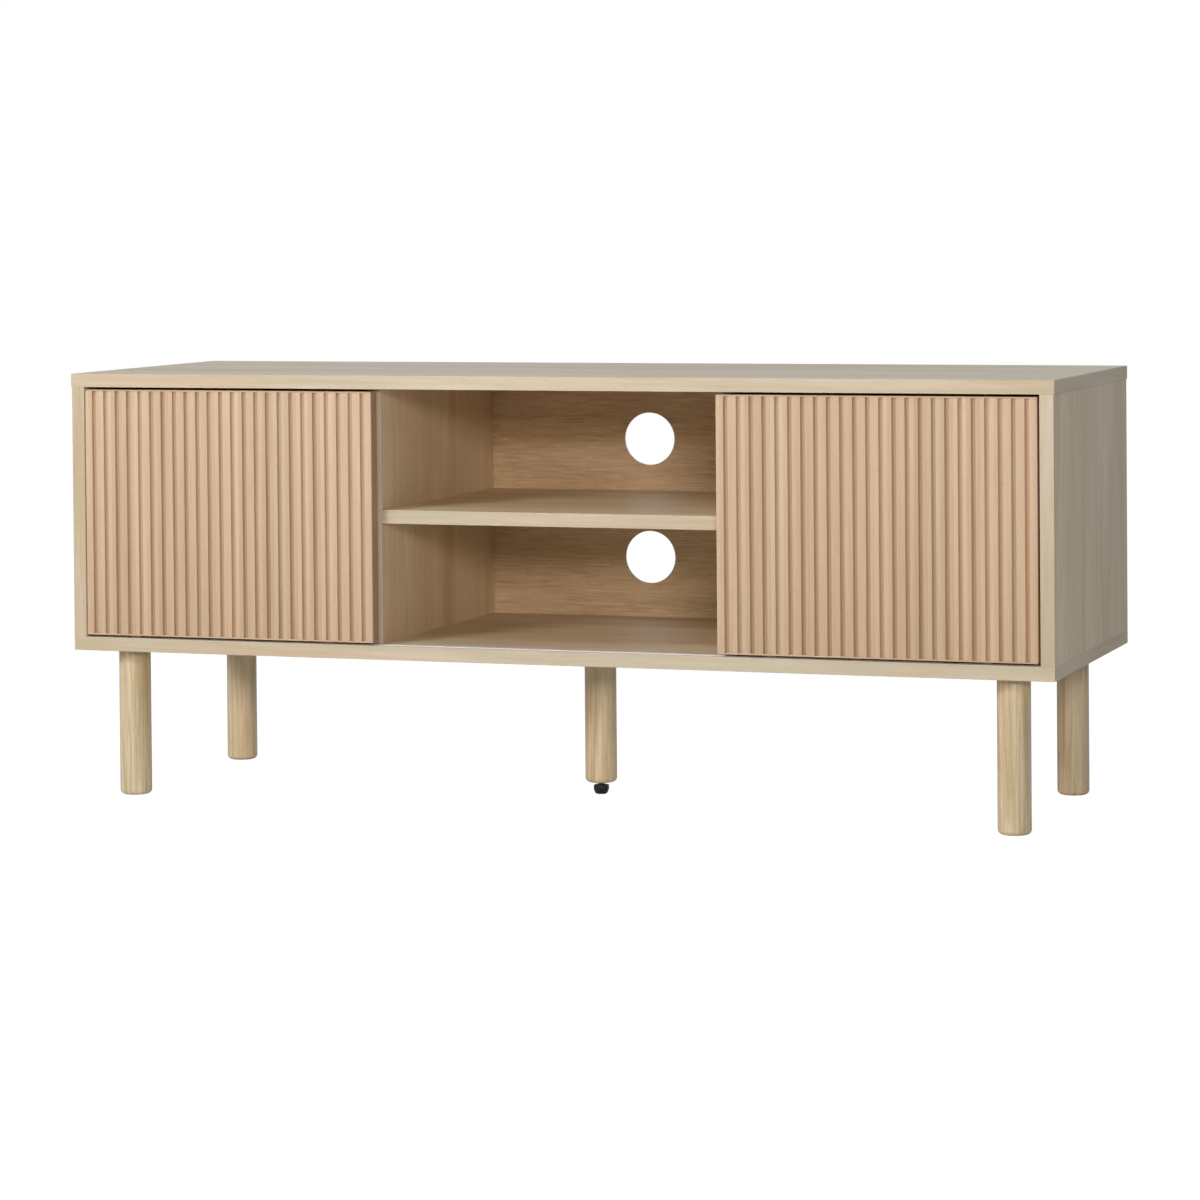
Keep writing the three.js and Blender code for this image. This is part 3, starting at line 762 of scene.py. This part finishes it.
class CABINET_OT_back(bpy.types.Operator):
    """Three thin back boards, the middle one with two cable holes, and their joining strips"""

    bl_idname = "cabinet.back"
    bl_label = "Back boards"

    def execute(self, context):
        for place in ("left", "centre", "right"):
            node = "back_board_" + place
            board = block(*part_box(node))
            if place == "centre":
                for opening in ("upper_cable_hole", "lower_cable_hole"):
                    cut_away(board, self.hole_cutter(opening))
            round_edges(board, 0.3 * MM, 2)
            name = node + "_panel"
            complete(board, name, "cabinet", "back_laminate", "back", "hardboard", stands_for=(node,))
            paint_faces(board, 1, lambda face: face.normal.y > 0.5)
        for side in SIDES:
            node = "back_strip_" + side
            strip = round_edges(copy_of_node(node), PLASTIC_ARRIS, 2)
            complete(strip, node + "_profile", "cabinet", "track_plastic", "track", stands_for=(node,))
        return {"FINISHED"}

    def hole_cutter(self, opening):
        """A round cutter on the middle of one of the record's openings."""
        boxes = {o["name"]: o["box_m"] for o in frame["record"]["physics"]["openings"]}
        low, high = map(Vector, boxes[opening])
        middle = (low + high) / 2
        front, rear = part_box("back_board_centre")
        start, end = (middle.x, front.y - MM, middle.z), (middle.x, rear.y + MM, middle.z)
        return rod(CABLE_HOLE_RADIUS, start, end, 96)


# ---------------------------------------------------------------- doors

DOOR_ARRIS = 0.3 * MM
DOOR_BAND_ARRIS = 0.35 * MM


class CABINET_OT_doors(bpy.types.Operator):
    """Two fluted door boards with a band along the top and bottom edges"""

    bl_idname = "cabinet.doors"
    bl_label = "Fluted doors"

    def execute(self, context):
        sizes = context.scene.cabinet_sizes
        for side in SIDES:
            node = side + "_door_panel"
            panel = block(*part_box(node))
            cut_away(panel, self.flute_cutter(node, sizes))
            self.cut_sockets(panel, side)
            round_edges(panel, DOOR_ARRIS, 2, 50)
            smooth(panel, 25)
            name = side + "_door_fluted_board"
            complete(panel, name, side + "_door", "door_veneer", "fluted_" + side, stands_for=(node,))
            for edge in ("top", "bottom"):
                node = f"{side}_door_{edge}_band"
                band = block(*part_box(node))
                self.cut_sockets(band, side)
                round_edges(band, DOOR_BAND_ARRIS, 2)
                name = node + "_strip"
                complete(band, name, side + "_door", "door_band", "door_band", stands_for=(node,))
        return {"FINISHED"}

    def flute_cutter(self, node, sizes):
        """One bar with rounded inner corners, repeated at the pitch of the flutes across the door."""
        low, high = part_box(node)
        first = (low.x + high.x) / 2 - (sizes.flute_count - 1) / 2 * sizes.flute_pitch
        reach = Vector((sizes.flute_width / 2, sizes.flute_depth, 0))
        middle = Vector((first, low.y, 0))
        bottom, top = Vector((0, 0, low.z - MM)), Vector((0, 0, high.z + MM))
        bar = block(middle - reach + bottom, middle + reach + top)
        round_edges(bar, sizes.flute_corner, 4)
        return apply_modifier(
            bar,
            "ARRAY",
            count=sizes.flute_count,
            use_relative_offset=False,
            use_constant_offset=True,
            constant_offset_displace=(sizes.flute_pitch, 0, 0),
        )

    def cut_sockets(self, board, side):
        """Mortises for the roller housings and round holes for the top guides."""
        for end in SIDES:
            low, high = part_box(f"{side}_door_{end}_roller_housing")
            play = Vector((MORTISE_PLAY, MORTISE_PLAY, MORTISE_PLAY))
            cut_away(board, block(low - play, high + play))
            low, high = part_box(f"{side}_door_{end}_top_guide")
            radius = (high.x - low.x) / 2 + SOCKET_PLAY
            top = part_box(side + "_door_top_band")[1].z
            cut_away(board, upright(radius, (low + high) / 2, low.z - MM, top + MM))


# ---------------------------------------------------------------- tracks, rollers and guides

# Parts of a wheel, as shares of its radius, and the radius of its bore.
WHEEL_DISH = 0.78
WHEEL_HUB = 0.4
WHEEL_BORE = 1.62 * MM
WHEEL_DISH_DEPTH = 0.6 * MM
GUIDE_SHOULDER = 1.5 * MM


class CABINET_OT_tracks(bpy.types.Operator):
    """Extruded bottom track and top channel, with their edges eased"""

    bl_idname = "cabinet.tracks"
    bl_label = "Tracks"

    def execute(self, context):
        for node in ("bottom_track", "top_track"):
            track = round_edges(copy_of_node(node), PLASTIC_ARRIS, 2)
            complete(track, node + "_profile", "cabinet", "track_plastic", "track", stands_for=(node,))
        return {"FINISHED"}


class CABINET_OT_rollers(bpy.types.Operator):
    """Roller wheels, their housings and axles, and the guide pins on top of the doors"""

    bl_idname = "cabinet.rollers"
    bl_label = "Rollers and guides"

    def execute(self, context):
        for side in SIDES:
            for end in SIDES:
                stem = f"{side}_door_{end}_"
                self.make_wheel(stem)
                housing = stem + "roller_housing"
                shell = round_edges(copy_of_node(housing), 0.2 * MM, 2)
                complete(shell, housing + "_shell", side + "_door", "nylon", "nylon", stands_for=(housing,))
                self.make_axle(stem, side)
                self.make_guide(stem, side)
        return {"FINISHED"}

    def make_wheel(self, stem):
        """A wheel with a crowned tread, a dished web and a bored hub."""
        node = stem + "roller_wheel"
        low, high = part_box(node)
        middle = (low + high) / 2
        radius = (high.x - low.x) / 2
        wheel = rod(radius, (middle.x, low.y, middle.z), (middle.x, high.y, middle.z), 72)
        round_edges(wheel, 0.8 * MM, 4)
        for outside, inward in ((low.y, 1), (high.y, -1)):
            dish = rod(
                WHEEL_DISH * radius,
                (middle.x, outside - inward * MM, middle.z),
                (middle.x, outside + inward * WHEEL_DISH_DEPTH, middle.z),
                48,
            )
            hub = rod(
                WHEEL_HUB * radius,
                (middle.x, outside - inward * 2 * MM, middle.z),
                (middle.x, outside + inward * 2 * MM, middle.z),
                48,
            )
            cut_away(dish, hub)
            cut_away(wheel, dish)
        bore = rod(WHEEL_BORE, (middle.x, low.y - MM, middle.z), (middle.x, high.y + MM, middle.z), 32)
        cut_away(wheel, bore)
        smooth(wheel)
        complete(wheel, node + "_turned", body_of_node(node), "nylon", "nylon", stands_for=(node,))

    def make_axle(self, stem, side):
        node = stem + "roller_axle"
        low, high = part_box(node)
        middle = (low + high) / 2
        radius = (high.z - low.z) / 2
        axle = rod(radius, (middle.x, low.y, middle.z), (middle.x, high.y, middle.z), 32)
        smooth(round_edges(axle, 0.3 * MM, 2))
        complete(axle, node + "_pin", side + "_door", "zinc_steel", "zinc", stands_for=(node,))

    def make_guide(self, stem, side):
        """A plug in the door's edge and the narrower pin on it that runs in the channel."""
        node = stem + "top_guide"
        low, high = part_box(node)
        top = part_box(side + "_door_top_band")[1].z
        guide = upright((high.x - low.x) / 2, (low + high) / 2, low.z, top, 40)
        select_none(guide, "FACE")
        for face in guide.data.polygons:
            face.select = face.normal.z > 0.9
        bpy.ops.object.mode_set(mode="EDIT")
        bpy.ops.mesh.inset(thickness=GUIDE_SHOULDER)
        bpy.ops.mesh.extrude_region_move(TRANSFORM_OT_translate={"value": (0, 0, high.z - top)})
        bpy.ops.object.mode_set(mode="OBJECT")
        smooth(round_edges(guide, 0.4 * MM, 3))
        complete(guide, node + "_plug", side + "_door", "nylon", "guide", stands_for=(node,))


# ---------------------------------------------------------------- legs and foot

# Empty hole above the levelling stud, for when the foot is screwed in.
STUD_ROOM = 6 * MM
# Pitch of an M8 thread, and its root as a share of the outside.
STUD_PITCH = 1.25 * MM
STUD_ROOT = 0.84
LEG_TOP_ROUND = 0.6 * MM


class CABINET_OT_legs(bpy.types.Operator):
    """Five turned legs with a rounded lower edge"""

    bl_idname = "cabinet.legs"
    bl_label = "Legs"

    def execute(self, context):
        sizes = context.scene.cabinet_sizes
        for leg in LEGS:
            node = leg + "_leg"
            low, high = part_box(node)
            turned = upright((high.x - low.x) / 2, (low + high) / 2, low.z, high.z, 96)
            bevel_ring(turned, low.z, sizes.leg_foot_round, 8)
            bevel_ring(turned, high.z, LEG_TOP_ROUND, 2)
            self.bore(turned, leg + "_hanger_bolt", high.z)
            if leg == "centre":
                self.bore(turned, "centre_leg_foot_insert", low.z)
                self.bore(turned, "levelling_stud", low.z, STUD_ROOM)
            smooth(turned)
            complete(turned, node + "_turned", "cabinet", "leg_wood", "leg", stands_for=(node,))
        return {"FINISHED"}

    def bore(self, leg, hardware, mouth, room=MM):
        """A hole for a bolt, insert or stud, from the end of the leg at a height, with room past its end."""
        low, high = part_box(hardware)
        middle = (low + high) / 2
        radius = (high.x - low.x) / 2 + 0.2 * MM
        inner = low.z - room if mouth > middle.z else high.z + room
        outer = mouth + MM if mouth > middle.z else mouth - MM
        cut_away(leg, upright(radius, middle, inner, outer))


class CABINET_OT_levelling_foot(bpy.types.Operator):
    """Black hexagonal foot on a threaded stud under the middle leg"""

    bl_idname = "cabinet.levelling_foot"
    bl_label = "Levelling foot"

    def execute(self, context):
        foot = copy_of_node("levelling_foot")
        round_edges(foot, 0.8 * MM, 3, 25)
        smooth(foot, 30)
        name = "levelling_foot_moulded"
        complete(foot, name, "levelling_foot", "foot_plastic", "foot", stands_for=("levelling_foot",))
        self.make_stud()
        return {"FINISHED"}

    def make_stud(self):
        """A rod cut into rings at the pitch of the thread."""
        low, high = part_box("levelling_stud")
        stud = upright((high.x - low.x) / 2, (0, 0), low.z, high.z)
        select_none(stud, "EDGE")
        points = stud.data.vertices
        for edge in stud.data.edges:
            ends = [points[i].co.z for i in edge.vertices]
            edge.select = abs(ends[0] - ends[1]) > MM
        bpy.ops.object.mode_set(mode="EDIT")
        rings = 2 * int((high.z - low.z) / STUD_PITCH) - 1
        bpy.ops.mesh.subdivide(number_cuts=rings)
        bpy.ops.mesh.select_mode(type="VERT")
        bpy.ops.mesh.select_all(action="DESELECT")
        bpy.ops.object.mode_set(mode="OBJECT")
        step = (high.z - low.z) / (rings + 1)
        for point in stud.data.vertices:
            point.select = round((point.co.z - low.z) / step) % 2 == 1
        bpy.ops.object.mode_set(mode="EDIT")
        bpy.ops.transform.resize(value=(STUD_ROOT, STUD_ROOT, 1), center_override=(0, 0, low.z))
        bpy.ops.object.mode_set(mode="OBJECT")
        name = "levelling_stud_threaded"
        complete(stud, name, "levelling_foot", "zinc_steel", "zinc", stands_for=("levelling_stud",))


# ---------------------------------------------------------------- fasteners

SCREW_HEAD_RADIUS = 5 * MM
SCREW_SINK = 1.5 * MM
SCREW_INSET = 60 * MM
CAM_RADIUS = 7.5 * MM
CAM_DROP = 34 * MM
CAM_SLOT = 5 * MM


def screw_places():
    """Where the carcass screws go up through the bottom panel, into the four uprights."""
    places = []
    for node in ("left_side_panel", "left_divider", "right_divider", "right_side_panel"):
        low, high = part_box(node)
        middle = (low.x + high.x) / 2
        places += [(middle, low.y + SCREW_INSET), (middle, high.y - SCREW_INSET)]
    return places


class CABINET_OT_fasteners(bpy.types.Operator):
    """Carcass screws under the bottom panel, cams inside the uprights, and the hidden hardware"""

    bl_idname = "cabinet.fasteners"
    bl_label = "Fasteners"

    def execute(self, context):
        self.make_screws()
        self.make_cams()
        for leg in LEGS:
            self.paint(leg + "_hanger_bolt", "zinc")
            self.paint(leg + "_insert_nut", "zinc")
        self.paint("centre_leg_foot_insert", "zinc")
        for side in SIDES:
            for row in ("front", "rear"):
                self.paint(f"shelf_dowel_{side}_{row}", "beech")
        return {"FINISHED"}

    def paint(self, node, finish):
        """A CAD node whose shape is right keeps its mesh and gets a better material."""
        materials = frame["nodes"][node].data.materials
        materials.clear()
        materials.append(FINISH[finish])

    def copies(self, first, places, stem, finish):
        """The first piece moved to the first place, and a copy with its own mesh at each other one."""
        for number, place in enumerate(places, 1):
            piece = first if number == len(places) else first.copy()
            if piece is not first:
                piece.data = first.data.copy()
                bpy.context.scene.collection.objects.link(piece)
            piece.location = place
            pick(piece)
            settle()
            complete(piece, f"{stem}_{number}", "cabinet", "zinc_steel", finish)

    def make_screws(self):
        """Flat heads with a hexagonal socket, sunk just below the board."""
        head = rod(SCREW_HEAD_RADIUS, (0, 0, 0), (0, 0, 1.2 * MM), 48)
        bevel_ring(head, 0, 0.5 * MM, 3)
        cut_away(head, rod(2.3 * MM, (0, 0, -MM), (0, 0, 0.8 * MM), 6))
        smooth(head)
        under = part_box("bottom_panel")[0].z
        places = [(x, y, under + 0.2 * MM) for x, y in screw_places()]
        self.copies(head, places, "carcass_screw", "zinc")

    def make_cams(self):
        """Round cams with a crossed slot, flush with the faces inside the two compartments."""
        cam = rod(CAM_RADIUS, (-0.2 * MM, 0, 0), (0.2 * MM, 0, 0), 48)
        round_edges(cam, 0.1 * MM, 1)
        for along in ((0.0, CAM_SLOT, MM), (0.0, MM, CAM_SLOT)):
            reach = Vector(along)
            cut_away(cam, block(-reach - Vector((MM, 0, 0)), reach + Vector((MM, 0, 0))))
        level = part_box("top_panel")[0].z - CAM_DROP
        places = []
        for node, outer in (
            ("left_side_panel", 1),
            ("left_divider", -1),
            ("right_divider", 1),
            ("right_side_panel", -1),
        ):
            low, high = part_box(node)
            face = high.x if outer > 0 else low.x
            for y in (low.y + SCREW_INSET, high.y - SCREW_INSET):
                places.append((face, y, level))
        self.copies(cam, places, "corner_cam", "zinc")


# ---------------------------------------------------------------- stage

CAMERA_PLACE = (1.5127, -4.3136, 0.6940)
CAMERA_YAW = 0.33659
CAMERA_PITCH = 0.02154
CAMERA_ROLL = -0.0083
CAMERA_LENS = 114.6
CAMERA_SHIFT = -0.2522
# Name, place, aim, size, power in watts and colour of each light. A low key beside the camera reaches
# into the open bay, a higher one on the left lights the floor of the bay and models the flutes, and a
# weak one from above lights the top.
LIGHTS = (
    ("key_light", (2.0, -4.7, 1.4), (0, 0, 0.33), (1.2, 0.6), 86, "FFF2E8"),
    ("left_light", (-2.1, -3.8, 2.1), (0, 0, 0.33), (1.2, 1.0), 103, "FFFBF6"),
    ("overhead_light", (-0.4, -1.5, 3.6), (0, 0, 0.4), (2.6, 2.0), 35, "E8F2FF"),
)
FLOOR_WIDTH = 40
# How much of the floor's own glow the camera sees, and its strength.
FLOOR_GLOW_SHARE = 0.9
FLOOR_GLOW = 1.1
# Light of the world along Y: this weak in front and this strong behind, between two directions.
WORLD_REACH = (-0.3, 0.9)
WORLD_STRENGTH = (0.06, 0.78)
WORLD_COLOUR = (0.86, 0.94, 1, 1)


class CABINET_OT_stage(bpy.types.Operator):
    """Pale floor, soft studio lights and the camera"""

    bl_idname = "cabinet.stage"
    bl_label = "Stage"

    def execute(self, context):
        self.make_camera(context.scene)
        self.make_floor(context.scene)
        self.make_world(context.scene)
        for light in LIGHTS:
            self.make_light(*light)
        context.scene.view_settings.view_transform = "Standard"
        return {"FINISHED"}

    def make_camera(self, scene):
        data = bpy.data.cameras.new("camera")
        data.lens = CAMERA_LENS
        data.shift_y = CAMERA_SHIFT
        data.clip_end = 100
        camera = bpy.data.objects.new("camera", data)
        scene.collection.objects.link(camera)
        camera.location = CAMERA_PLACE
        ahead = Vector(
            (
                -math.sin(CAMERA_YAW) * math.cos(CAMERA_PITCH),
                math.cos(CAMERA_YAW) * math.cos(CAMERA_PITCH),
                -math.sin(CAMERA_PITCH),
            )
        )
        aim = ahead.to_track_quat("-Z", "Y").to_matrix().to_4x4()
        camera.matrix_world = Matrix.Translation(CAMERA_PLACE) @ aim @ Matrix.Rotation(CAMERA_ROLL, 4, "Z")
        scene.camera = camera

    def make_floor(self, scene):
        deselect_all()
        bpy.ops.mesh.primitive_plane_add(size=FLOOR_WIDTH)
        floor = bpy.context.object
        floor.name = "floor"
        material = bpy.data.materials.new("pale_studio_floor")
        material.use_nodes = True
        tree = material.node_tree
        tree.nodes.clear()
        tint = (*scene.cabinet_finishes.floor, 1)
        paint = add(tree, "BsdfDiffuse", {"Color": tint})
        glow = add(tree, "Emission", {"Color": (1, 1, 1, 1), "Strength": FLOOR_GLOW})
        ray = add(tree, "LightPath")
        share = maths(tree, "MULTIPLY", ray.outputs["Is Camera Ray"], FLOOR_GLOW_SHARE)
        lit = add(tree, "MixShader", {0: share, 1: paint.outputs[0], 2: glow.outputs[0]})
        side = add(tree, "NewGeometry")
        clear = add(tree, "BsdfTransparent")
        mix = add(tree, "MixShader", {0: side.outputs["Backfacing"], 1: lit.outputs[0], 2: clear.outputs[0]})
        add(tree, "OutputMaterial", {"Surface": mix.outputs[0]})
        floor.data.materials.append(material)

    def make_world(self, scene):
        """White to the eye. As a light it is dim in front and brighter behind, like a white backdrop."""
        world = bpy.data.worlds.new("studio")
        scene.world = world
        world.use_nodes = True
        tree = world.node_tree
        tree.nodes.clear()
        seen = add(tree, "Background", {"Color": (1, 1, 1, 1), "Strength": 1.0})
        way = add(tree, "SeparateXYZ", {0: add(tree, "TexCoord").outputs["Generated"]})
        strength = spread(tree, way.outputs[1], *WORLD_REACH, *WORLD_STRENGTH)
        lit = add(tree, "Background", {"Color": WORLD_COLOUR, "Strength": strength})
        ray = add(tree, "LightPath")
        mix = add(tree, "MixShader", {0: ray.outputs["Is Camera Ray"], 1: lit.outputs[0], 2: seen.outputs[0]})
        add(tree, "OutputWorld", {"Surface": mix.outputs[0]})

    def make_light(self, name, place, target, size, power, tint):
        data = bpy.data.lights.new(name, "AREA")
        data.shape = "RECTANGLE"
        data.size, data.size_y = size
        data.energy = power
        data.color = linear(tint)
        light = bpy.data.objects.new(name, data)
        bpy.context.scene.collection.objects.link(light)
        light.location = place
        aim = Vector(target) - Vector(place)
        light.rotation_euler = aim.to_track_quat("-Z", "Y").to_euler()


# ---------------------------------------------------------------- panel, register and main

MAKERS = (
    CABINET_OT_finishes,
    CABINET_OT_boards,
    CABINET_OT_back,
    CABINET_OT_doors,
    CABINET_OT_tracks,
    CABINET_OT_rollers,
    CABINET_OT_legs,
    CABINET_OT_levelling_foot,
    CABINET_OT_fasteners,
    CABINET_OT_stage,
)


class CABINET_PT_panel(bpy.types.Panel):
    """Lists the operators that make the cabinet"""

    bl_idname = "CABINET_PT_panel"
    bl_label = "Media cabinet"
    bl_space_type = "VIEW_3D"
    bl_region_type = "UI"
    bl_category = "Media cabinet"

    def draw(self, context):
        for maker in MAKERS:
            self.layout.operator(maker.bl_idname)
        for group in (context.scene.cabinet_sizes, context.scene.cabinet_finishes):
            column = self.layout.column()
            for name in group.__annotations__:
                column.prop(group, name)


CLASSES = (CabinetSizes, CabinetFinishes, *MAKERS, CABINET_PT_panel)


def register():
    for cls in CLASSES:
        bpy.utils.register_class(cls)
    bpy.types.Scene.cabinet_sizes = PointerProperty(type=CabinetSizes)
    bpy.types.Scene.cabinet_finishes = PointerProperty(type=CabinetFinishes)


def unregister():
    del bpy.types.Scene.cabinet_finishes
    del bpy.types.Scene.cabinet_sizes
    for cls in reversed(CLASSES):
        bpy.utils.unregister_class(cls)


def main():
    register()
    for maker in MAKERS:
        group, name = maker.bl_idname.split(".")
        getattr(getattr(bpy.ops, group), name)()


if __name__ == "__main__":
    main()
